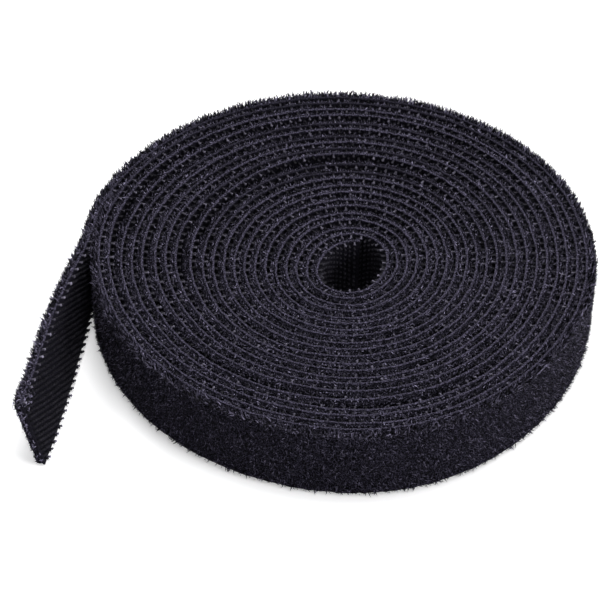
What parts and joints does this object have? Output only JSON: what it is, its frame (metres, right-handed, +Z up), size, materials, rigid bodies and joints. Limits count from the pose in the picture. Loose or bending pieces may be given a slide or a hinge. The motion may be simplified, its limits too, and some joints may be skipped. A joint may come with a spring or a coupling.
{
  "type": "hook and loop tape roll",
  "caption": "Roll of narrow back-to-back hook and loop tape for tying cables, wound on itself with an open eye and a free outer end.",
  "frame": {"origin": "on the surface the roll lies on, under the middle of the box round the roll and its free end", "axes": "+Z up along the roll's winding axis, +X away from the side where the free end hangs off, +Y away from the way the free end points"},
  "size_m": [0.139, 0.1292, 0.02],
  "materials": {
    "tape": "matt black nylon: woven web with moulded hooks on the inner face and brushed loop pile on the outer face"
  },
  "bodies": {
    "root": {"tape": "tape"}
  },
  "joints": []
}
